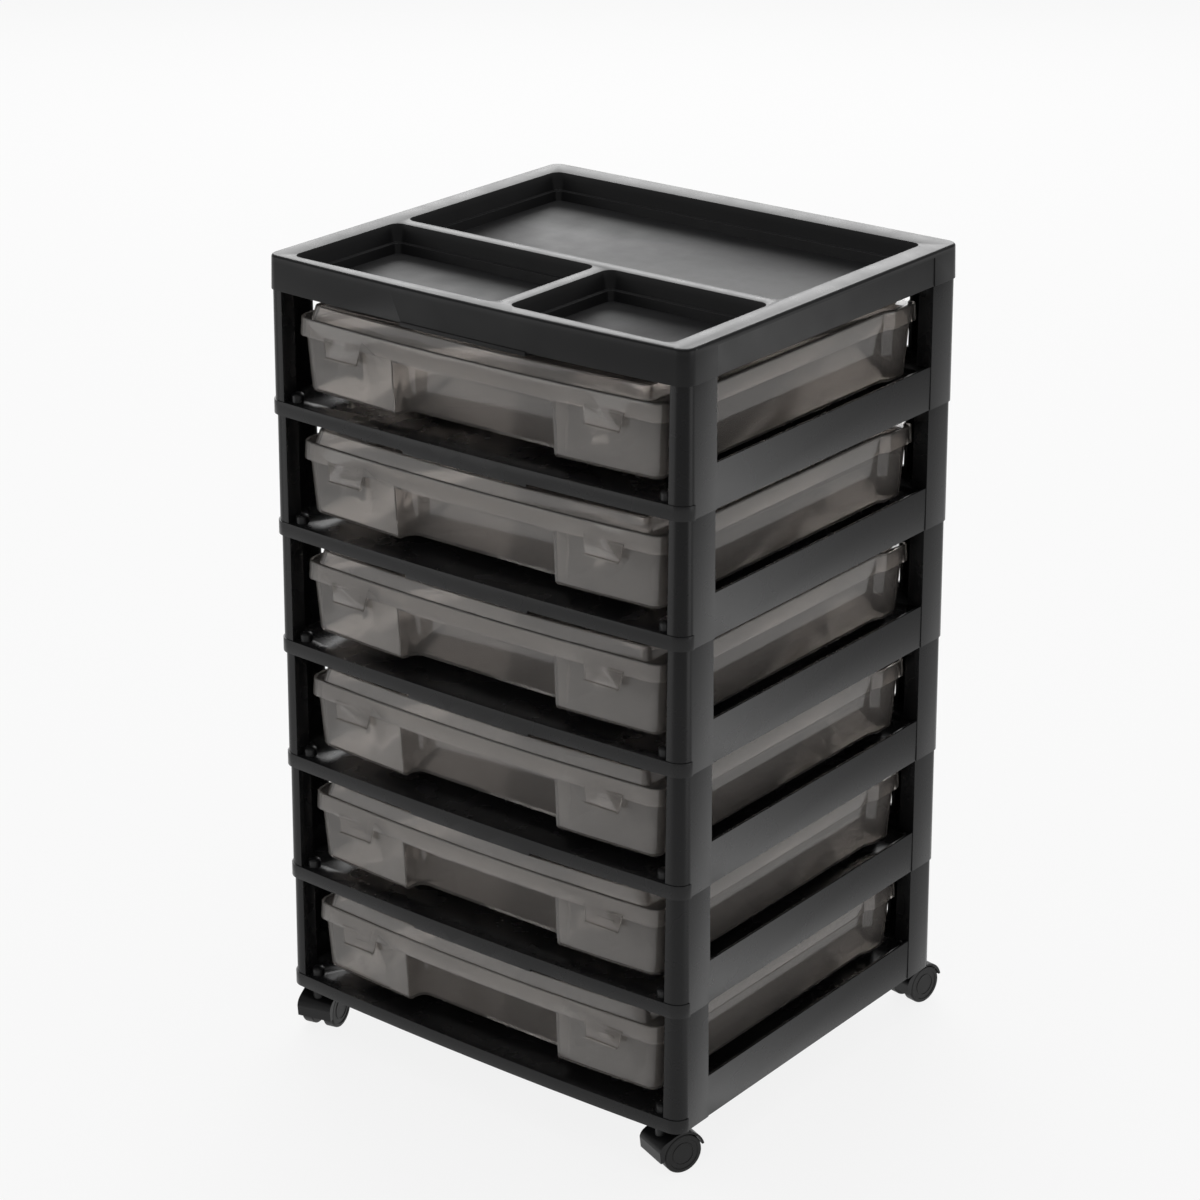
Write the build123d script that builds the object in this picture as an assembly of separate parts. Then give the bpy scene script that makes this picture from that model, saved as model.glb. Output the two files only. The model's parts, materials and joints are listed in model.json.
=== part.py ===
from build123d import *
import os

# Rolling drawer cart: six stacked tiers on casters, a lidded case on each shelf, an organizer on top.
# Millimetres. +Z is up, the front of the cart is at -Y, and the origin is on the floor, mid-plan.

# Whole cart
frame_width = 390.0
frame_depth = 345.0
tier_count = 6
tier_pitch = 97.0
tray_height = 26.5
caster_height = 38.5

# Shape shared by every tier and the organizer
corner_radius = 11.0
front_bow = 5.0
wall = 3.0
tier_taper = 1.2
panel_inset = 0.8
post_side = 36.0
post_front = 15.0
post_return = 12.5
return_wall = 3.0

# Tier
shelf_top = 11.0
floor_thickness = 2.6
lip_proud = 1.2
lip_wrap = 10.0
panel_height = 34.0
tongue_height = 5.0
tongue_wall = 2.5
tongue_gap = 0.3
tab_half_width = 58.0
tab_drop = 2.2
rib_wall = 2.2
rib_depth = 5.5
rib_bays_x = 5
rib_bays_y = 4
runner_width = 10.0
runner_height = 9.0
runner_middle = 150.0
runner_front = 50.0
stop_rise = 8.0
stop_wall = 4.0
stop_gap = 0.3
stop_edge = 1.2

# Caster sockets in every shelf corner
socket_from_side = 22.0
socket_from_end = 7.5
socket_radius = 5.0
socket_rise = 6.0
socket_cap = 2.2
socket_edge = 0.8

# Organizer
tray_taper = 0.9
tray_skin = 2.4
tray_edge_radius = 2.2
rim_front = 11.0
rim_side = 20.0
rim_back = 24.0
pocket_depth = 21.0
pocket_step_depth = 13.5
pocket_step = 4.0
pocket_slope = 2.5
pocket_radius = 8.0
divider_width = 11.0
cross_divider_y = -42.0
front_divider_x = 25.0

# Case
case_half_width = 171.0
case_front_gap = 4.4
case_bow = 6.0
case_back = 148.0
case_wall = 2.0
shoulder_step = 3.5
shoulder_start = 106.0
shoulder_run = 9.0
lid_radius = 11.0
shoulder_radius = 4.0
skirt_bottom = 45.2
ledge_top = 59.1
ledge_edge = 1.0
lid_top = 69.5
skirt_flare = 0.8
plateau_side = 12.5
plateau_front = 1.6
plateau_back = 7.0
plateau_slope = 3.0
plateau_radius = 5.0
plateau_edge = 1.2
base_clearance = 0.4
base_draft = 3.0
base_bottom_radius = 4.7
notch_half_width = 75.0
notch_depth = 21.0
notch_top = 42.0
notch_radius = 8.0
snap_middle = 121.6
snap_half_top = 18.0
snap_half_bottom = 15.0
snap_bottom = 33.3
snap_reach = 1.8
snap_root = 3.0
snap_foot = 1.2
catch_width = 13.0
catch_height = 2.0
catch_proud = 0.9
catch_drop = 6.0
knuckle_middle = 105.0
knuckle_length = 24.0
knuckle_radius = 3.6
knuckle_gap = 0.4
hinge_pin_radius = 1.5
hinge_pin_gap = 0.2

# Caster
wheel_radius = 16.0
wheel_width = 9.5
wheel_edge = 1.6
wheel_inner_edge = 0.8
wheel_rim = 3.2
wheel_dish = 0.5
hub_gap = 0.35
web_wall = 9.0
hood_side_gap = 0.5
hood_gap = 0.7
hood_wall = 1.7
hood_nose = 21.0
hood_nose_low = 2.5
hood_tail_height = 4.5
hub_radius = 6.0
trail = 10.4
axle_radius = 2.5
axle_gap = 0.06
axle_end_gap = 0.6
axle_edge = 0.4
stem_radius = 3.5
stem_gap = 0.08
stem_collar_radius = 5.2
stem_edge = 1.0
swivel_gap = 0.3
swivel_angles = {"front_right": -22.0, "front_left": 14.0, "back_right": -10.0, "back_left": 24.0}

socket_x = frame_width / 2 - socket_from_side
socket_y = frame_depth / 2 - socket_from_end
window_half_y = frame_depth / 2 - post_side
window_half_x = frame_width / 2 - post_side
opening_half_x = frame_width / 2 - post_front
case_lift = shelf_top + runner_height
case_front = -frame_depth / 2 + case_front_gap
inner_top = ledge_top - case_wall
base_inset = case_wall + skirt_flare + base_clearance
base_front = case_front + base_inset
base_back = case_back - base_inset
front_edge = frame_depth / 2 + front_bow + lip_proud
caster_edge = socket_y + trail + wheel_radius + hood_gap + hood_wall
plan_middle = (caster_edge - front_edge) / 2
far = 1000.0


def block(x0, x1, y0, y1, z0, z1):
    """A box between two corners."""
    middle = ((x0 + x1) / 2, (y0 + y1) / 2, (z0 + z1) / 2)
    return Pos(*middle) * Box(x1 - x0, y1 - y0, z1 - z0)


def rounded_outline(edges, radii):
    """A face from edges, with a fillet radius for each named corner."""
    face = make_face(edges)
    for point, radius in radii:
        corner = face.vertices().sort_by_distance(point)[0]
        face = fillet(corner, radius)
    return face


def between(low_face, low_z, high_face, high_z):
    """A solid with straight walls between two outlines at two heights."""
    return loft([Pos(0, 0, low_z) * low_face, Pos(0, 0, high_z) * high_face], ruled=True)


# Frame outline: a rounded rectangle whose front side bows outwards
def frame_outline(inset):
    half_x = frame_width / 2 - inset
    half_y = frame_depth / 2 - inset
    corners = [(half_x, -half_y), (half_x, half_y), (-half_x, half_y), (-half_x, -half_y)]
    front = ThreePointArc(corners[3], (0, -half_y - front_bow), corners[0])
    sides = [Line(a, b) for a, b in zip(corners, corners[1:])]
    radius = corner_radius - inset
    return rounded_outline([front] + sides, [(Vector(x, y, 0), radius) for x, y in corners])


def frame_prism(inset, z0, z1, taper=tier_taper, height=tier_pitch):
    """Part of the tapering outer form of a tier, moved in by inset."""
    low = frame_outline(inset + taper * z0 / height)
    high = frame_outline(inset + taper * z1 / height)
    return between(low, z0, high, z1)


def side_recess(z1, taper, height):
    """The shallow step of a side panel behind its corner posts."""
    skin = frame_prism(-wall, 0, z1, taper, height) - frame_prism(panel_inset, 0, z1, taper, height)
    return skin & block(-far, far, -window_half_y, window_half_y, -far, far)


def lip_tab():
    """The short tab below the middle of a front edge."""
    skin = frame_prism(-lip_proud, -tab_drop, 1.0) - frame_prism(wall, -tab_drop, 1.0)
    return skin & block(-tab_half_width, tab_half_width, -far, 0, -far, far)


# Tier
def tier(with_tab):
    outer = frame_prism(0, 0, tier_pitch)
    under = shelf_top - floor_thickness
    shape = outer - frame_prism(wall, shelf_top, tier_pitch + 1) - frame_prism(wall, -1, under)

    # Lip across the front, standing proud and dying away round the corners
    lip_end = -frame_depth / 2 + lip_wrap
    lip = frame_prism(-lip_proud, 0, shelf_top) - frame_prism(wall, 0, shelf_top)
    shape += lip & block(-far, far, -far, lip_end, -far, far)

    # Openings: the front above the shelf, and a window over each low panel
    shape -= block(-opening_half_x, opening_half_x, -far, 0, shelf_top, far)
    shape -= block(-far, far, -window_half_y, window_half_y, panel_height, far)
    shape -= block(-window_half_x, window_half_x, 0, far, panel_height, far)
    shape -= side_recess(panel_height, tier_taper, tier_pitch)

    # Posts turn inwards along their free edges
    returns = []
    for s in (-1, 1):
        for e in (-1, 1):
            x = sorted((s * frame_width / 2, s * (frame_width / 2 - tier_taper - post_return)))
            y = sorted((e * window_half_y, e * (window_half_y + return_wall)))
            returns.append(block(*x, *y, panel_height - 1, tier_pitch))
        x = sorted((s * opening_half_x, s * (opening_half_x + return_wall)))
        y = (-far, -frame_depth / 2 + tier_taper + post_return)
        returns.append(block(*x, *y, shelf_top - 1, tier_pitch))
        x = sorted((s * window_half_x, s * (window_half_x + return_wall)))
        y = (frame_depth / 2 - tier_taper - post_return, far)
        returns.append(block(*x, *y, panel_height - 1, tier_pitch))
    for bar in returns:
        shape += bar & outer

    # Tongues on the post tops locate the next tier
    low = tier_pitch - 2 * tongue_height
    high = tier_pitch + tongue_height
    ring_out = wall + tongue_gap
    ring = between(frame_outline(ring_out), low, frame_outline(ring_out), high)
    ring_in = ring_out + tongue_wall
    ring -= between(frame_outline(ring_in), low, frame_outline(ring_in), high)
    for sx in (-1, 1):
        for sy in (-1, 1):
            x = sorted((sx * (opening_half_x + 1), sx * far))
            y = sorted((sy * (window_half_y + return_wall), sy * far))
            shape += ring & block(*x, *y, low, high)

    # Ribs under the shelf
    rib_low = under - rib_depth
    half_x = (frame_width - wall) / 2
    half_y = (frame_depth - wall) / 2
    for i in range(1, rib_bays_x):
        x = frame_width * (i / rib_bays_x - 0.5)
        shape += block(x - rib_wall / 2, x + rib_wall / 2, -half_y, half_y, rib_low, under + 1)
    for i in range(1, rib_bays_y):
        y = frame_depth * (i / rib_bays_y - 0.5)
        shape += block(-half_x, half_x, y - rib_wall / 2, y + rib_wall / 2, rib_low, under + 1)

    # Runners carry the case, and a stop behind each one sets where it rests
    y0 = -frame_depth / 2 + runner_front
    y1 = base_back - base_draft * (1 - stop_rise / inner_top) + stop_gap
    for s in (-1, 1):
        x = s * runner_middle
        bar = block(x - runner_width / 2, x + runner_width / 2, y0, y1, shelf_top - 1, case_lift)
        nose = bar.edges().group_by(Axis.Z)[-1].sort_by(Axis.Y)[0]
        shape += chamfer(nose, runner_height / 2)
        stop = block(x - runner_width / 2, x + runner_width / 2, y1, y1 + stop_wall,
                     shelf_top - 1, case_lift + stop_rise)
        shape += fillet(stop.edges().filter_by(Axis.X).group_by(Axis.Z)[-1], stop_edge)

    # Sockets for caster stems, closed on top
    rise = shelf_top + socket_rise
    for sx in (-1, 1):
        for sy in (-1, 1):
            at = Pos(sx * socket_x, sy * socket_y, 0)
            post = Pos(0, 0, rise / 2) * Cylinder(socket_radius, rise)
            post = chamfer(post.edges().group_by(Axis.Z)[-1], socket_edge)
            bore_top = rise - socket_cap
            bore = Pos(0, 0, bore_top / 2) * Cylinder(stem_radius + stem_gap, bore_top)
            shape = shape + at * post - at * bore

    if with_tab:
        shape += lip_tab()
    return shape


# Organizer
def pocket(x0, x1, y0, y1, grow):
    """A stepped pocket with sloping walls; grow makes its outside."""
    def level(inset):
        width = x1 - x0 - 2 * inset + 2 * grow
        depth = y1 - y0 - 2 * inset + 2 * grow
        face = RectangleRounded(width, depth, pocket_radius - inset / 2 + grow)
        return Pos((x0 + x1) / 2, (y0 + y1) / 2) * face
    top = tray_height
    middle = top - pocket_step_depth - grow
    low = top - pocket_depth - grow
    upper = between(level(pocket_slope), middle, level(0), top)
    inset = pocket_slope + pocket_step
    return upper + between(level(inset + 1), low, level(inset), middle)


def organizer():
    outer = frame_prism(0, 0, tray_height, tray_taper, tray_height)
    top_edges = outer.faces().sort_by(Axis.Z)[-1].edges()
    shape = fillet(top_edges, tray_edge_radius)

    x1 = frame_width / 2 - rim_side
    y1 = frame_depth / 2 - rim_back
    y0 = -frame_depth / 2 - front_bow / 2 + rim_front
    half = divider_width / 2
    places = [
        (-x1, x1, cross_divider_y + half, y1),
        (-x1, front_divider_x - half, y0, cross_divider_y - half),
        (front_divider_x + half, x1, y0, cross_divider_y - half),
    ]
    hollow = frame_prism(wall, -1, tray_height - tray_skin, tray_taper, tray_height)
    for place in places:
        hollow -= pocket(*place, tray_skin)
    shape -= hollow
    for place in places:
        shape -= pocket(*place, 0)
    shape -= side_recess(tray_height - 2 * tray_edge_radius, tray_taper, tray_height)
    return shape + lip_tab()


# Case outline: bowed front, and shoulders that widen it near the back
def case_outline(half_x, front_y, back_y, inset, front_radius):
    hx = half_x - inset
    fy = front_y + inset
    by = back_y - inset
    wide = hx + shoulder_step
    s0 = shoulder_start + inset
    s1 = s0 + shoulder_run
    right = [(hx, fy), (hx, s0), (wide, s1), (wide, by)]
    left = [(-x, y) for x, y in reversed(right)]
    points = right + left
    front = ThreePointArc(left[-1], (0, fy - case_bow), right[0])
    sides = [Line(a, b) for a, b in zip(points, points[1:])]
    radii = []
    for x, y in points:
        radius = front_radius if y == fy else shoulder_radius
        radii.append((Vector(x, y, 0), radius))
    return rounded_outline([front] + sides, radii)


def base_level(inset, z):
    """Outline of the case base at one height."""
    draft = base_draft * (1 - z / inner_top)
    total = base_inset + inset + draft
    return case_outline(case_half_width, case_front, case_back, total, lid_radius - case_wall)


def notch(grow):
    """The finger recess below the front of the rim."""
    half = notch_half_width + grow
    depth = notch_depth + grow
    y0 = base_front - far
    y1 = base_front - case_bow + depth
    corners = [(-half, y0), (half, y0), (half, y1), (-half, y1)]
    edges = [Line(a, b) for a, b in zip(corners, corners[1:] + corners[:1])]
    radii = [(Vector(x, y1, 0), notch_radius + grow) for x in (-half, half)]
    face = rounded_outline(edges, radii)
    return Pos(0, 0, -1) * extrude(face, notch_top + grow + 1)


def case_base():
    outer = between(base_level(0, 0), 0, base_level(0, inner_top), inner_top)
    outer = fillet(outer.faces().sort_by(Axis.Z)[0].edges(), base_bottom_radius)
    inner = between(base_level(case_wall, case_wall), case_wall,
                    base_level(case_wall, inner_top), inner_top + 0.01)
    inner = fillet(inner.faces().sort_by(Axis.Z)[0].edges(), base_bottom_radius - case_wall)
    outer -= notch(0)
    inner -= notch(case_wall)
    shape = outer - inner

    # Catches that the snap tabs hold
    bow = case_bow * (1 - (snap_middle / case_half_width) ** 2)
    z1 = skirt_bottom - catch_drop
    for s in (-1, 1):
        x = s * snap_middle
        y = base_front - bow + base_draft * (1 - z1 / inner_top)
        shape += block(x - catch_width / 2, x + catch_width / 2, y - catch_proud, y + case_wall,
                       z1 - catch_height, z1)

    # Hinge knuckles along the back, each with a pin through it
    y = case_back + knuckle_radius + knuckle_gap
    z = skirt_bottom - knuckle_radius - knuckle_gap
    for s in (-1, 1):
        x = s * knuckle_middle
        arm = block(x - knuckle_length / 4, x + knuckle_length / 4, base_back - case_wall, y,
                    z - knuckle_radius, z + knuckle_radius)
        barrel = Pos(x, y, z) * Rot(0, 90, 0) * Cylinder(knuckle_radius, knuckle_length / 2)
        pin = Pos(x, y, z) * Rot(0, 90, 0) * Cylinder(hinge_pin_radius, knuckle_length)
        shape = shape + arm + barrel + pin
    return shape


def case_lid():
    def skirt(inset, z):
        flare = skirt_flare * (z - skirt_bottom) / (ledge_top - skirt_bottom)
        return case_outline(case_half_width, case_front, case_back, inset + flare, lid_radius)

    def plateau(inset):
        half_x = case_half_width - plateau_side
        back = case_back - plateau_back
        return case_outline(half_x, case_front + plateau_front, back, inset, plateau_radius)

    outer = between(skirt(0, skirt_bottom), skirt_bottom, skirt(0, ledge_top), ledge_top)
    outer = fillet(outer.faces().sort_by(Axis.Z)[-1].edges(), ledge_edge)
    raised = between(plateau(0), ledge_top - case_wall, plateau(plateau_slope), lid_top)
    raised = fillet(raised.faces().sort_by(Axis.Z)[-1].edges(), plateau_edge)
    shape = outer + raised
    shape -= between(skirt(case_wall, skirt_bottom), skirt_bottom,
                     skirt(case_wall, inner_top), inner_top)
    shape -= between(plateau(case_wall), ledge_top - 2 * case_wall,
                     plateau(plateau_slope + case_wall), lid_top - case_wall)

    # Snap tabs flare forwards below the skirt and end in a small foot
    bow = case_bow * (1 - (snap_middle / case_half_width) ** 2)
    face_y = case_front - bow
    z0 = snap_bottom
    z1 = skirt_bottom + snap_root
    for s in (-1, 1):
        x = s * snap_middle
        top = Pos(x, face_y + case_wall / 2) * Rectangle(2 * snap_half_top, case_wall)
        low_y = face_y - snap_reach + case_wall / 2
        low = Pos(x, low_y) * Rectangle(2 * snap_half_bottom, case_wall)
        shape += between(low, z0, top, z1)
        shape += block(x - snap_half_bottom, x + snap_half_bottom, low_y - case_wall / 2 - snap_foot,
                       low_y, z0, z0 + case_wall * 0.7)

    # Lid side of the hinge: a lug on each side of every knuckle
    y = case_back + knuckle_radius + knuckle_gap
    z = skirt_bottom - knuckle_radius - knuckle_gap
    lug = knuckle_length / 4 - knuckle_gap
    for s in (-1, 1):
        for e in (-1, 1):
            x = s * knuckle_middle + e * (knuckle_length / 4 + knuckle_gap + lug / 2)
            eye = Pos(x, y, z) * Rot(0, 90, 0) * Cylinder(knuckle_radius, lug)
            arm = block(x - lug / 2, x + lug / 2, case_back - case_wall / 2, y + knuckle_radius,
                        z, skirt_bottom + knuckle_radius)
            hole = Pos(x, y, z) * Rot(0, 90, 0) * Cylinder(hinge_pin_radius + hinge_pin_gap, 3 * lug)
            shape = shape + eye + arm - hole
    return shape


# Caster, built round its stem axis with the wheels behind it along +Y and the axle along X
def hood():
    width = web_wall + 2 * (hub_gap + wheel_width + hood_side_gap)
    outer = wheel_radius + hood_gap + hood_wall
    tail_y = (outer ** 2 - hood_tail_height ** 2) ** 0.5
    crown = (0.0, outer)
    nose_top = (-hood_nose, hood_nose_low + 4.0)
    nose = (-hood_nose + 1.0, -hood_nose_low)
    back = ThreePointArc((tail_y, hood_tail_height), (outer * 0.7071, outer * 0.7071), crown)
    front = Spline(crown, (-outer * 0.68, outer * 0.8), nose_top, tangents=((-1, 0), (-0.15, -1)))
    edges = [back, front, Line(nose_top, nose), Line(nose, (tail_y, hood_tail_height))]
    profile = make_face(edges) + Circle(hub_radius)
    shape = extrude(Plane.YZ * profile, width / 2, both=True)
    for s in (-1, 1):
        pocket_width = width / 2 - web_wall / 2
        x = s * (web_wall / 2 + pocket_width / 2)
        shape -= Pos(x, 0, 0) * Rot(0, 90, 0) * Cylinder(wheel_radius + hood_gap, pocket_width)
    shape -= Rot(0, 90, 0) * Cylinder(axle_radius, width)
    shape = Pos(0, trail, wheel_radius) * shape

    # Round boss up to the shelf corner, bored for the stem
    top = caster_height - swivel_gap
    low = wheel_radius + outer * 0.5
    boss = Pos(0, 0, (low + top) / 2) * Cylinder(stem_collar_radius, top - low)
    boss -= Pos(0, trail, wheel_radius) * Rot(0, 90, 0) * Cylinder(wheel_radius + hood_gap, width)
    shape += boss
    seat = wheel_radius + hood_gap + hood_wall
    return shape - Pos(0, 0, seat + far / 2) * Cylinder(stem_radius, far)


def stem():
    low = wheel_radius + hood_gap + hood_wall
    high = caster_height + shelf_top + socket_rise - socket_cap - swivel_gap
    pin = Pos(0, 0, (low + high) / 2) * Cylinder(stem_radius, high - low)
    return chamfer(pin.edges().group_by(Axis.Z)[-1], stem_edge)


def axle():
    length = web_wall + 2 * (hub_gap + wheel_width * 0.7)
    pin = Pos(0, trail, wheel_radius) * Rot(0, 90, 0) * Cylinder(axle_radius, length)
    return chamfer(pin.edges().filter_by(GeomType.CIRCLE), axle_edge)


def wheel(side):
    """A twin wheel: plain dished outer face, round tread edge, blind bore from inside."""
    r = wheel_radius
    w = wheel_width
    inner_edge = wheel_inner_edge
    profile = Polyline((0, 0), (r - inner_edge, 0))
    tread = Line((r, inner_edge), (r, w - wheel_edge))
    edge = RadiusArc((r, w - wheel_edge), (r - wheel_edge, w), -wheel_edge)
    rim = r - wheel_rim
    dish = Polyline((r - wheel_edge, w), (rim, w), (rim - wheel_dish, w - wheel_dish), (0, w - wheel_dish))
    chamfered = Line((r - inner_edge, 0), (r, inner_edge))
    face = make_face([profile, chamfered, tread, edge, dish, Line((0, w - wheel_dish), (0, 0))])
    shape = revolve(Plane.XZ * face, Axis.Z)
    bore = w * 0.7 + axle_end_gap
    shape -= Pos(0, 0, bore / 2) * Cylinder(axle_radius + axle_gap, bore)
    out = Pos(0, 0, web_wall / 2 + hub_gap) * shape
    return Pos(0, trail, wheel_radius) * Rot(0, 90 * side, 0) * out


# Pieces in their places
os.makedirs("parts", exist_ok=True)


def save(shape, name):
    export_step(Pos(0, -plan_middle, 0) * shape, f"parts/{name}.step")


upper_tier = tier(with_tab=True)
lowest_tier = tier(with_tab=False)
base = case_base()
lid = case_lid()
for number in range(1, tier_count + 1):
    z = caster_height + (tier_count - number) * tier_pitch
    frame = lowest_tier if number == tier_count else upper_tier
    save(Pos(0, 0, z) * frame, f"tier_frame_{number}")
    save(Pos(0, 0, z + case_lift) * base, f"case_base_{number}")
    save(Pos(0, 0, z + case_lift) * lid, f"case_lid_{number}")

save(Pos(0, 0, caster_height + tier_count * tier_pitch) * organizer(), "organizer_top")

caster_pieces = {
    "caster_stem": stem(),
    "caster_hood": hood(),
    "caster_axle": axle(),
    "caster_wheel_a": wheel(1),
    "caster_wheel_b": wheel(-1),
}
for place, angle in swivel_angles.items():
    x = socket_x if place.endswith("right") else -socket_x
    y = -socket_y if place.startswith("front") else socket_y
    for name, shape in caster_pieces.items():
        save(Pos(x, y, 0) * Rot(0, 0, angle) * shape, f"{name}_{place}")
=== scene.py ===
# %% [markdown]
# # A rolling drawer cart
# The cart is a stack of black moulded tiers on four swivel casters. A lidded smoke-grey case slides on each
# shelf, and a divided tray closes the stack. The solids come from the CAD model, and this lesson dresses them:
# camera, studio, finishes, then the small moulded details.

# %% Load the frame
import bpy
import bmesh
import json
import math
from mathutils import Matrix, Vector


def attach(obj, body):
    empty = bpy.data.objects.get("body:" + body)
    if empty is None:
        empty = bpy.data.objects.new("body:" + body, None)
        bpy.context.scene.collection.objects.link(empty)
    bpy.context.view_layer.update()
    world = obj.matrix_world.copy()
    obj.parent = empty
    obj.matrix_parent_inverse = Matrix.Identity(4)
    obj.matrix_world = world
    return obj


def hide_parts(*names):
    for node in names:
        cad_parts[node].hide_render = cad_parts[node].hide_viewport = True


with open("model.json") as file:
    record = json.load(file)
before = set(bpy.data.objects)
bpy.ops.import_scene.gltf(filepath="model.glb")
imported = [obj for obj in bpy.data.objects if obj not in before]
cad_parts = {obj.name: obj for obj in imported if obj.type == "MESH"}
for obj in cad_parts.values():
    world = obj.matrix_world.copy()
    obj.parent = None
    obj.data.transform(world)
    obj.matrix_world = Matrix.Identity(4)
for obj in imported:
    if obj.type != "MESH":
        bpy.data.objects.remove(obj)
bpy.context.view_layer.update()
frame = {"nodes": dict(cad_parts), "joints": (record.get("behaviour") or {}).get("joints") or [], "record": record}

nodes = frame["nodes"]

# %% [markdown]
# ## Camera
# The view is from the front right, a little above the tray. A long lens keeps the upright edges nearly
# parallel, as in a product picture. The place and angles were measured, so nothing has to be aimed by hand.

# %% Camera
lens_mm = 99.166
sensor_mm = 36.0
far_clip = 50.0
camera_place = (1.45634, -1.89102, 1.32125)
degrees_down = 21.899
degrees_round = 37.989

camera_data = bpy.data.cameras.new("camera")
camera_data.sensor_width = sensor_mm
camera_data.lens = lens_mm
camera_data.clip_end = far_clip
camera = bpy.data.objects.new("camera", camera_data)
camera.location = camera_place
camera.rotation_euler = (math.radians(90.0 - degrees_down), 0.0, math.radians(degrees_round))
bpy.context.scene.collection.objects.link(camera)
bpy.context.scene.camera = camera
print("camera at", tuple(round(v, 3) for v in camera.location))

# %% [markdown]
# ## Studio
# Satin black plastic is mostly what it mirrors, so the room matters as much as the finish: a pale floor, a
# white surround and wide soft lamps. The floor is seen as nearly white through Light Path, and a little of its
# shaded colour is kept, so the cart still stands on a soft shadow. The surround is white where it is looked at,
# also through the clear cases, and dimmer where it only lights the cart or is mirrored in it.

# %% Floor and surround
pure_white = (1.0, 1.0, 1.0, 1.0)
floor_grey = (0.82, 0.82, 0.82, 1.0)
floor_white_share = 0.86
floor_reach = 12.0
surround_seen = 1.0
surround_light = 0.36


def shader_tree(name):
    """A material with an empty node tree, and its output node."""
    material = bpy.data.materials.new(name)
    material.use_nodes = True
    tree = material.node_tree
    tree.nodes.clear()
    return material, tree, tree.nodes.new("ShaderNodeOutputMaterial")


def seen_ray(tree, also=("Is Glossy Ray", "Is Transmission Ray")):
    """1 for rays that show a background: from the camera, in a mirror or through clear plastic."""
    path = tree.nodes.new("ShaderNodeLightPath")
    total = path.outputs["Is Camera Ray"]
    for name in also:
        larger = tree.nodes.new("ShaderNodeMath")
        larger.operation = "MAXIMUM"
        tree.links.new(total, larger.inputs[0])
        tree.links.new(path.outputs[name], larger.inputs[1])
        total = larger.outputs[0]
    return total


floor_paint, tree, out = shader_tree("studio_floor")
shaded = tree.nodes.new("ShaderNodeBsdfDiffuse")
shaded.inputs["Color"].default_value = floor_grey
white = tree.nodes.new("ShaderNodeEmission")
white.inputs["Color"].default_value = pure_white
white.inputs["Strength"].default_value = 1.0
share = tree.nodes.new("ShaderNodeMath")
share.operation = "MULTIPLY"
share.inputs[1].default_value = floor_white_share
mix = tree.nodes.new("ShaderNodeMixShader")
tree.links.new(seen_ray(tree), share.inputs[0])
tree.links.new(share.outputs[0], mix.inputs[0])
tree.links.new(shaded.outputs[0], mix.inputs[1])
tree.links.new(white.outputs[0], mix.inputs[2])
tree.links.new(mix.outputs[0], out.inputs["Surface"])

floor_mesh = bpy.data.meshes.new("floor")
corners = [(x * floor_reach, y * floor_reach, 0) for x, y in ((-1, -1), (1, -1), (1, 1), (-1, 1))]
floor_mesh.from_pydata(corners, [], [(0, 1, 2, 3)])
floor_mesh.materials.append(floor_paint)
floor = bpy.data.objects.new("floor", floor_mesh)
bpy.context.scene.collection.objects.link(floor)

world = bpy.data.worlds.new("studio")
world.use_nodes = True
bpy.context.scene.world = world
tree = world.node_tree
tree.nodes.clear()
out = tree.nodes.new("ShaderNodeOutputWorld")
seen = tree.nodes.new("ShaderNodeBackground")
seen.inputs["Color"].default_value = pure_white
seen.inputs["Strength"].default_value = surround_seen
lit = tree.nodes.new("ShaderNodeBackground")
lit.inputs["Color"].default_value = pure_white
lit.inputs["Strength"].default_value = surround_light
mix = tree.nodes.new("ShaderNodeMixShader")
tree.links.new(seen_ray(tree, ("Is Transmission Ray",)), mix.inputs[0])
tree.links.new(lit.outputs[0], mix.inputs[1])
tree.links.new(seen.outputs[0], mix.inputs[2])
tree.links.new(mix.outputs[0], out.inputs["Surface"])


# %% Lamps
def softbox(name, place, target, width, height, power):
    """A wide area lamp that looks at a point. Sizes in metres, power in watts."""
    lamp = bpy.data.lights.new(name, "AREA")
    lamp.shape = "RECTANGLE"
    lamp.size = width
    lamp.size_y = height
    lamp.energy = power
    lamp_object = bpy.data.objects.new(name, lamp)
    lamp_object.location = place
    direction = Vector(target) - Vector(place)
    lamp_object.rotation_euler = direction.to_track_quat("-Z", "Y").to_euler()
    bpy.context.scene.collection.objects.link(lamp_object)


softbox("overhead", (-0.3, 0.4, 2.4), (0.0, 0.0, 0.6), 1.6, 1.4, 16.0)
softbox("back_card", (-2.3, 2.9, 2.1), (0.0, 0.0, 0.6), 3.2, 2.2, 62.0)
softbox("front_left", (-1.75, -2.45, 0.75), (0.0, -0.1, 0.35), 1.8, 1.2, 7.0)
softbox("right_side", (2.6, 0.3, 0.7), (0.0, 0.0, 0.25), 1.2, 1.2, 5.0)
bpy.context.scene.view_settings.view_transform = "Standard"
print("studio: floor, surround and four soft lamps")

# %% [markdown]
# ## Finishes
# Every finish is a small node tree on Object coordinates. A noise shifts the colour and the gloss by a few
# percent, and a finer one raises the faint orange-peel grain that moulded plastic has under a soft lamp.


# %% Finish helpers
satin_shine = 0.28
mottle_scale = 9.0
gloss_scale = 34.0
grain_scale = 1400.0
grain_height = 0.0002


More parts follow.
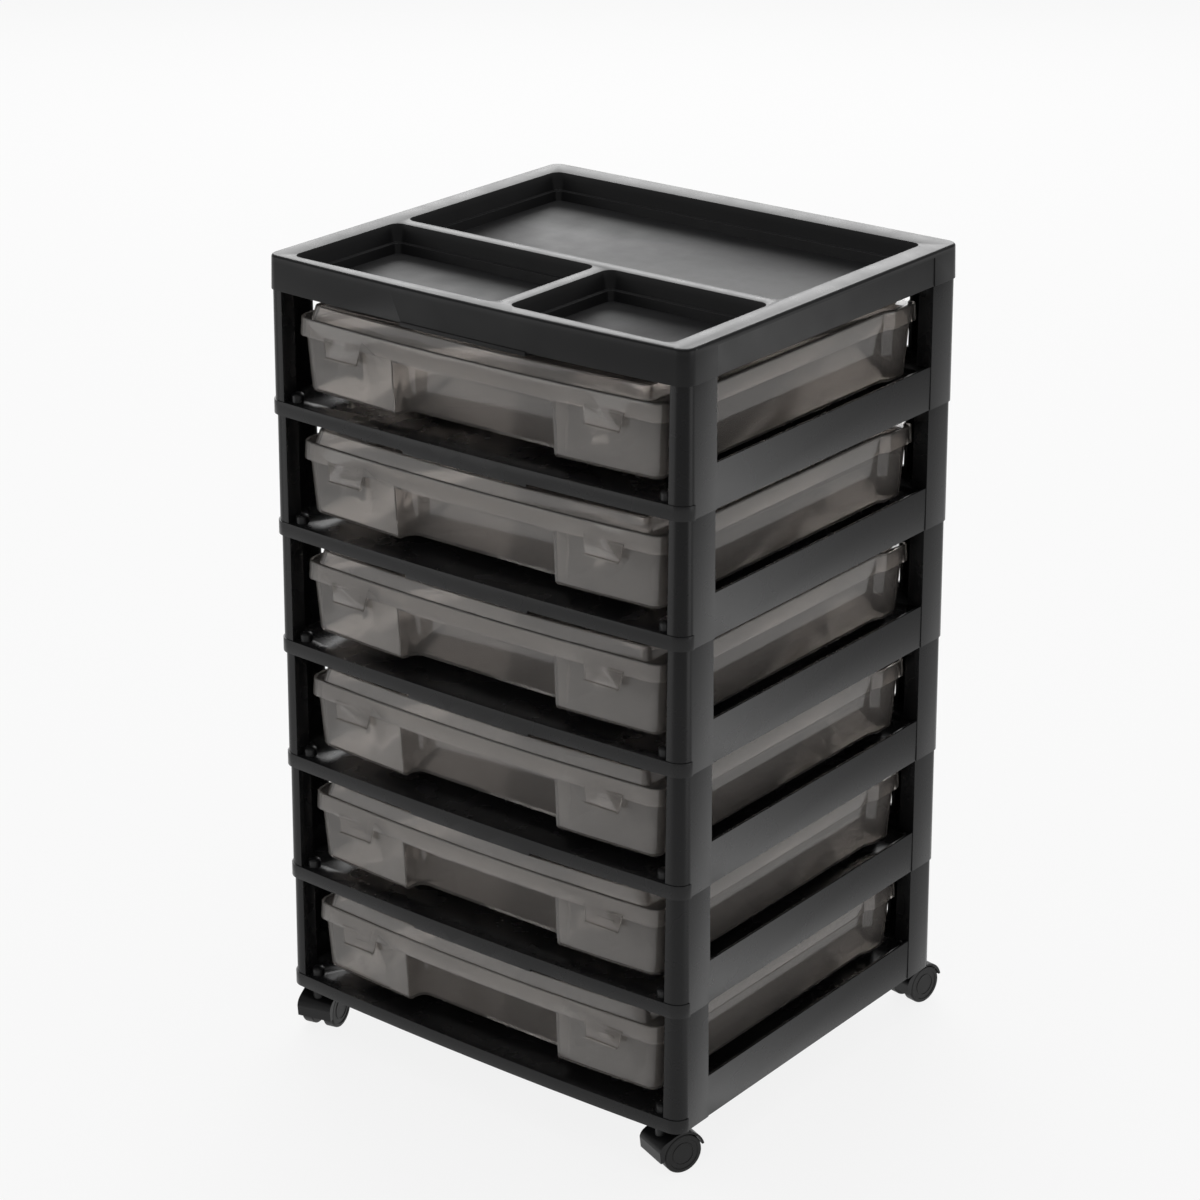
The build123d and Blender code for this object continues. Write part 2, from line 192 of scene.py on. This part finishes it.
def noise(tree, scale, detail, stretch=(1.0, 1.0, 1.0)):
    """A noise in object space, per metre."""
    place = tree.nodes.new("ShaderNodeTexCoord")
    turn = tree.nodes.new("ShaderNodeMapping")
    turn.inputs["Scale"].default_value = stretch
    texture = tree.nodes.new("ShaderNodeTexNoise")
    texture.inputs["Scale"].default_value = scale
    texture.inputs["Detail"].default_value = detail
    tree.links.new(place.outputs["Object"], turn.inputs["Vector"])
    tree.links.new(turn.outputs["Vector"], texture.inputs["Vector"])
    return texture.outputs["Fac"]


def ramp(tree, value, low, high, start=0.35, end=0.65):
    """Two colours that a value runs between."""
    node = tree.nodes.new("ShaderNodeValToRGB")
    node.color_ramp.elements[0].position = start
    node.color_ramp.elements[1].position = end
    node.color_ramp.elements[0].color = (*low, 1.0)
    node.color_ramp.elements[1].color = (*high, 1.0)
    tree.links.new(value, node.inputs["Fac"])
    return node.outputs["Color"]


def spread(tree, value, low, high):
    """A value moved from 0.3-0.7 to another range."""
    node = tree.nodes.new("ShaderNodeMapRange")
    node.inputs["From Min"].default_value = 0.3
    node.inputs["From Max"].default_value = 0.7
    node.inputs["To Min"].default_value = low
    node.inputs["To Max"].default_value = high
    tree.links.new(value, node.inputs["Value"])
    return node.outputs["Result"]


def bump(tree, shader, value, strength, height):
    """Raises a value as a fine grain on a shader."""
    node = tree.nodes.new("ShaderNodeBump")
    node.inputs["Strength"].default_value = strength
    node.inputs["Distance"].default_value = height
    tree.links.new(value, node.inputs["Height"])
    tree.links.new(node.outputs["Normal"], shader.inputs["Normal"])


def moulded(name, low, high, gloss, grain):
    """Opaque moulded plastic: slight mottling, uneven gloss and a fine grain."""
    material, tree, out = shader_tree(name)
    shader = tree.nodes.new("ShaderNodeBsdfPrincipled")
    shader.inputs["Specular IOR Level"].default_value = satin_shine
    tree.links.new(ramp(tree, noise(tree, mottle_scale, 4.0), low, high), shader.inputs["Base Color"])
    tree.links.new(spread(tree, noise(tree, gloss_scale, 5.0), *gloss), shader.inputs["Roughness"])
    bump(tree, shader, noise(tree, grain_scale, 3.0), grain, grain_height)
    tree.links.new(shader.outputs[0], out.inputs["Surface"])
    return material


# %% [markdown]
# ### Black satin frame plastic
# The tiers are a satin black, a touch paler and glossier than the casters. The wheels are the dullest. Each line
# gives two colours, the range of the roughness and the strength of the grain.

# %% Black plastics
frame_black = moulded("frame_black", (0.007, 0.007, 0.0074), (0.010, 0.010, 0.0105), (0.25, 0.29), 0.08)
caster_black = moulded("caster_black", (0.004, 0.004, 0.0045), (0.007, 0.007, 0.0075), (0.28, 0.38), 0.10)
wheel_black = moulded("wheel_black", (0.008, 0.008, 0.008), (0.012, 0.012, 0.012), (0.40, 0.52), 0.14)

# %% [markdown]
# ### Tray with a satin rim
# The rim of the tray shines more than its pockets and sides. One finish does both: the height in the piece blends
# from the duller plastic below to the satin of the rim.

# %% Tray plastic
rim_start = 0.6415
rim_end = 0.6465
pocket_shine = 0.19
pocket_extra_rough = 0.06
tray_colours = ((0.006, 0.006, 0.0064), (0.009, 0.009, 0.0095))

tray_black, tree, out = shader_tree("tray_black")
shader = tree.nodes.new("ShaderNodeBsdfPrincipled")
tree.links.new(ramp(tree, noise(tree, mottle_scale, 4.0), *tray_colours), shader.inputs["Base Color"])
place = tree.nodes.new("ShaderNodeTexCoord")
axes = tree.nodes.new("ShaderNodeSeparateXYZ")
tree.links.new(place.outputs["Object"], axes.inputs[0])
height = tree.nodes.new("ShaderNodeMapRange")
height.inputs["From Min"].default_value = rim_start
height.inputs["From Max"].default_value = rim_end
height.inputs["To Min"].default_value = 1.0
height.inputs["To Max"].default_value = 0.0
tree.links.new(axes.outputs["Z"], height.inputs["Value"])
texture = spread(tree, noise(tree, 40.0, 4.0), 0.26, 0.34)
matte = tree.nodes.new("ShaderNodeMath")
matte.operation = "MULTIPLY_ADD"
matte.inputs[1].default_value = pocket_extra_rough
tree.links.new(height.outputs[0], matte.inputs[0])
tree.links.new(texture, matte.inputs[2])
tree.links.new(matte.outputs[0], shader.inputs["Roughness"])
dull = tree.nodes.new("ShaderNodeMapRange")
dull.inputs["To Min"].default_value = satin_shine
dull.inputs["To Max"].default_value = pocket_shine
tree.links.new(height.outputs[0], dull.inputs["Value"])
tree.links.new(dull.outputs[0], shader.inputs["Specular IOR Level"])
bump(tree, shader, noise(tree, 1200.0, 3.0), 0.14, grain_height)
tree.links.new(shader.outputs[0], out.inputs["Surface"])
print("tray finish: satin rim, duller pockets")

# %% [markdown]
# ### Smoke-grey case plastic
# The cases are clear plastic tinted a warm grey. Light goes through both skins of the wall, so the tint is set on a
# transmitting shader, with a little of it left opaque, because the real plastic is slightly milky.

# %% Smoke plastic
smoke_clear_share = 0.83
smoke_index = 1.46
smoke_colours = ((0.54, 0.508, 0.482), (0.60, 0.566, 0.538))

smoke, tree, out = shader_tree("case_smoke")
shader = tree.nodes.new("ShaderNodeBsdfPrincipled")
shader.inputs["Transmission Weight"].default_value = smoke_clear_share
shader.inputs["IOR"].default_value = smoke_index
tree.links.new(ramp(tree, noise(tree, 7.0, 3.0), *smoke_colours), shader.inputs["Base Color"])
tree.links.new(spread(tree, noise(tree, 12.0, 2.0), 0.06, 0.09), shader.inputs["Roughness"])
bump(tree, shader, noise(tree, 60.0, 2.0), 0.004, 0.0004)
tree.links.new(shader.outputs[0], out.inputs["Surface"])

# %% [markdown]
# ### Plated steel
# Stems and axles are drawn wire, so the gloss is streaked along the piece.

# %% Steel
steel, tree, out = shader_tree("plated_steel")
shader = tree.nodes.new("ShaderNodeBsdfPrincipled")
shader.inputs["Metallic"].default_value = 1.0
streak = noise(tree, 220.0, 4.0, (1.0, 1.0, 0.08))
tree.links.new(ramp(tree, streak, (0.50, 0.50, 0.51), (0.66, 0.66, 0.67)), shader.inputs["Base Color"])
tree.links.new(spread(tree, streak, 0.22, 0.38), shader.inputs["Roughness"])
bump(tree, shader, streak, 0.05, grain_height)
tree.links.new(shader.outputs[0], out.inputs["Surface"])


# %% Which finish goes where
def finish_of(name):
    """The finish of a CAD piece, by the start of its name."""
    if name.startswith("case_"):
        return smoke
    if name == "organizer_top":
        return tray_black
    if name.startswith("caster_hood"):
        return caster_black
    if name.startswith("caster_wheel"):
        return wheel_black
    if name.startswith("caster"):
        return steel
    return frame_black


for name, piece in nodes.items():
    piece.data.materials.clear()
    piece.data.materials.append(finish_of(name))
print("dressed", len(nodes), "CAD pieces")

# %% [markdown]
# ## Soft moulded edges
# No moulded edge is a knife edge: each has a small round that catches a thin line of light. The CAD solids are
# right in shape, so a copy of each is merged, its flat faces are joined, and a Bevel modifier rounds what is
# sharp. The copy then stands for its solid.

# %% Rounded copies
record = frame["record"]
body_of = {name: body for body, names in record["behaviour"]["bodies"].items() for name in names}
merge_distance = 2e-6
flat_degrees = 0.4
crease_degrees = 38.0
radii = {"tier_frame": 0.0007, "organizer_top": 0.0008, "case_base": 0.0005, "case_lid": 0.0004}


def rounded_copy(name, radius, steps=2, sharp=35.0):
    """A merged copy of a CAD piece with its sharp edges rounded."""
    mesh = nodes[name].data.copy()
    shape = bmesh.new()
    shape.from_mesh(mesh)
    bmesh.ops.remove_doubles(shape, verts=shape.verts, dist=merge_distance)
    bmesh.ops.dissolve_limit(shape, angle_limit=math.radians(flat_degrees), verts=shape.verts, edges=shape.edges)
    shape.to_mesh(mesh)
    shape.free()
    piece = bpy.data.objects.new("look_" + name, mesh)
    bpy.context.scene.collection.objects.link(piece)
    bevel = piece.modifiers.new("round", "BEVEL")
    bevel.width = radius
    bevel.segments = steps
    bevel.limit_method = "ANGLE"
    bevel.angle_limit = math.radians(sharp)
    bevel.use_clamp_overlap = True
    bevel.harden_normals = False
    view = bpy.context.evaluated_depsgraph_get()
    solid = bpy.data.meshes.new_from_object(piece.evaluated_get(view))
    piece.modifiers.clear()
    piece.data = solid
    solid.shade_smooth()
    solid.set_sharp_from_angle(angle=math.radians(crease_degrees))
    solid.materials.clear()
    solid.materials.append(finish_of(name))
    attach(piece, body_of[name])
    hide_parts(name)
    return len(solid.polygons)


total = 0
for name in nodes:
    for kind, radius in radii.items():
        if name.startswith(kind):
            total += rounded_copy(name, radius)
print("rounded copies hold", total, "faces")

# %% [markdown]
# ## Small details that repeat
# The same small form comes back on every tier, case and wheel, so each is made once by a Geometry Nodes tree and
# set on points. A tree ends in Realize Instances and Set Material, and the result becomes a plain mesh that
# rides on one body.


# %% Geometry Nodes helpers
detail_crease_degrees = 40.0


def detail_tree(name, sizes):
    """An empty tree with named sizes, its input node and its output node."""
    tree = bpy.data.node_groups.new(name, "GeometryNodeTree")
    tree.interface.new_socket("Places", in_out="INPUT", socket_type="NodeSocketGeometry")
    for label, value in sizes.items():
        socket = tree.interface.new_socket(label, in_out="INPUT", socket_type="NodeSocketFloat")
        socket.default_value = value
    tree.interface.new_socket("Geometry", in_out="OUTPUT", socket_type="NodeSocketGeometry")
    return tree, tree.nodes.new("NodeGroupInput"), tree.nodes.new("NodeGroupOutput")


def set_on_points(tree, start, end, form, material, turn=None):
    """Puts a form on every place, realizes it and gives it its finish."""
    instances = tree.nodes.new("GeometryNodeInstanceOnPoints")
    realize = tree.nodes.new("GeometryNodeRealizeInstances")
    paint = tree.nodes.new("GeometryNodeSetMaterial")
    paint.inputs["Material"].default_value = material
    tree.links.new(start.outputs["Places"], instances.inputs["Points"])
    tree.links.new(form, instances.inputs["Instance"])
    if turn is not None:
        tree.links.new(turn, instances.inputs["Rotation"])
    tree.links.new(instances.outputs[0], realize.inputs[0])
    tree.links.new(realize.outputs[0], paint.inputs["Geometry"])
    tree.links.new(paint.outputs[0], end.inputs["Geometry"])


def grow_details(name, tree, places, body, sizes=None):
    """Runs a tree on a list of places and keeps the result as a plain mesh on a body."""
    points = bpy.data.meshes.new(name)
    points.from_pydata(places, [], [])
    piece = bpy.data.objects.new(name, points)
    bpy.context.scene.collection.objects.link(piece)
    grower = piece.modifiers.new("grow", "NODES")
    grower.node_group = tree
    for item in tree.interface.items_tree:
        if item.in_out == "INPUT" and item.name in (sizes or {}):
            grower[item.identifier] = sizes[item.name]
    view = bpy.context.evaluated_depsgraph_get()
    solid = bpy.data.meshes.new_from_object(piece.evaluated_get(view))
    piece.modifiers.clear()
    piece.data = solid
    solid.shade_smooth()
    solid.set_sharp_from_angle(angle=math.radians(detail_crease_degrees))
    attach(piece, body)
    return len(solid.polygons)


# %% [markdown]
# ### Peg caps
# A round peg stands in each corner of a shelf, where a caster stem goes in from below on the lowest tier. Its top is
# a low cone. Heights and plan places are the CAD model's own, in millimetres and metres.

# %% Peg caps
tier_count = 6
lowest_tier_mm = 38.5
tier_pitch_mm = 97.0
peg_top_mm = 17.0
peg_x = 0.173
peg_y = 0.165
peg_sink = 0.00005
plan_middle = 0.00755
tier_levels = [lowest_tier_mm + tier_pitch_mm * level for level in range(tier_count)]

tree, start, end = detail_tree("peg_cap", {"Low radius": 0.0042, "High radius": 0.0030, "Height": 0.0009})
cone = tree.nodes.new("GeometryNodeMeshCone")
cone.inputs["Vertices"].default_value = 28
tree.links.new(start.outputs["High radius"], cone.inputs["Radius Top"])
tree.links.new(start.outputs["Low radius"], cone.inputs["Radius Bottom"])
tree.links.new(start.outputs["Height"], cone.inputs["Depth"])
set_on_points(tree, start, end, cone.outputs["Mesh"], frame_black)
places = [(x, y - plan_middle, (z + peg_top_mm) / 1000.0 - peg_sink) for z in tier_levels
          for x in (-peg_x, peg_x) for y in (-peg_y, peg_y)]
print("peg caps:", grow_details("peg_caps", tree, places, "cart"), "faces")

# %% [markdown]
# ### Snap tab beads
# The foot of each snap tab is rolled into a bead for the fingertip. A short line swept with a circle gives it, and
# two of them ride on each case.

# %% Snap tab beads
case_lift_mm = 20.0
bead_rise_mm = 34.0
tab_x = 0.1216
tab_y = -0.17347

tree, start, end = detail_tree("tab_bead", {"Half length": 0.0146, "Radius": 0.0009})
line = tree.nodes.new("GeometryNodeCurvePrimitiveLine")
for side, name in ((-1.0, "Start"), (1.0, "End")):
    scaled = tree.nodes.new("ShaderNodeMath")
    scaled.operation = "MULTIPLY"
    scaled.inputs[1].default_value = side
    vector = tree.nodes.new("ShaderNodeCombineXYZ")
    tree.links.new(start.outputs["Half length"], scaled.inputs[0])
    tree.links.new(scaled.outputs[0], vector.inputs["X"])
    tree.links.new(vector.outputs[0], line.inputs[name])
ring = tree.nodes.new("GeometryNodeCurvePrimitiveCircle")
ring.inputs["Resolution"].default_value = 14
tree.links.new(start.outputs["Radius"], ring.inputs["Radius"])
sweep = tree.nodes.new("GeometryNodeCurveToMesh")
sweep.inputs["Fill Caps"].default_value = True
tree.links.new(line.outputs[0], sweep.inputs["Curve"])
tree.links.new(ring.outputs[0], sweep.inputs["Profile Curve"])
set_on_points(tree, start, end, sweep.outputs["Mesh"], smoke)
for number in range(1, tier_count + 1):
    z = (tier_levels[tier_count - number] + case_lift_mm + bead_rise_mm) / 1000.0
    places = [(x, tab_y - plan_middle, z) for x in (-tab_x, tab_x)]
    grow_details(f"tab_beads_{number}", tree, places, f"case_{number}")
print("snap tab beads on six cases")

# %% [markdown]
# ### Wheel rings
# Each wheel face has a fine raised ring round its middle. The ring is a circle swept with a smaller one, stood up
# and turned to the angle at which its caster rests.

# %% Wheel rings
ring_from_middle = 0.01385

tree, start, end = detail_tree("wheel_ring", {"Radius": 0.0088, "Bead": 0.0004, "Turn": 0.0})
big = tree.nodes.new("GeometryNodeCurvePrimitiveCircle")
big.inputs["Resolution"].default_value = 40
small = tree.nodes.new("GeometryNodeCurvePrimitiveCircle")
small.inputs["Resolution"].default_value = 10
tree.links.new(start.outputs["Radius"], big.inputs["Radius"])
tree.links.new(start.outputs["Bead"], small.inputs["Radius"])
sweep = tree.nodes.new("GeometryNodeCurveToMesh")
tree.links.new(big.outputs[0], sweep.inputs["Curve"])
tree.links.new(small.outputs[0], sweep.inputs["Profile Curve"])
stand = tree.nodes.new("ShaderNodeCombineXYZ")
stand.inputs["Y"].default_value = math.radians(90.0)
tree.links.new(start.outputs["Turn"], stand.inputs["Z"])
set_on_points(tree, start, end, sweep.outputs["Mesh"], wheel_black, stand.outputs[0])
axle_at = {joint["child"]: joint for joint in frame["joints"] if joint["child"].startswith("wheel_")}
for body, joint in axle_at.items():
    axis = Vector(joint["axis"])
    side = 1.0 if body.startswith("wheel_a") else -1.0
    place = Vector(joint["pos_m"]) + axis * side * ring_from_middle
    turn = math.atan2(axis.y, axis.x)
    grow_details("ring_" + body, tree, [tuple(place)], body, {"Turn": turn})
print("rings on", len(axle_at), "wheels")
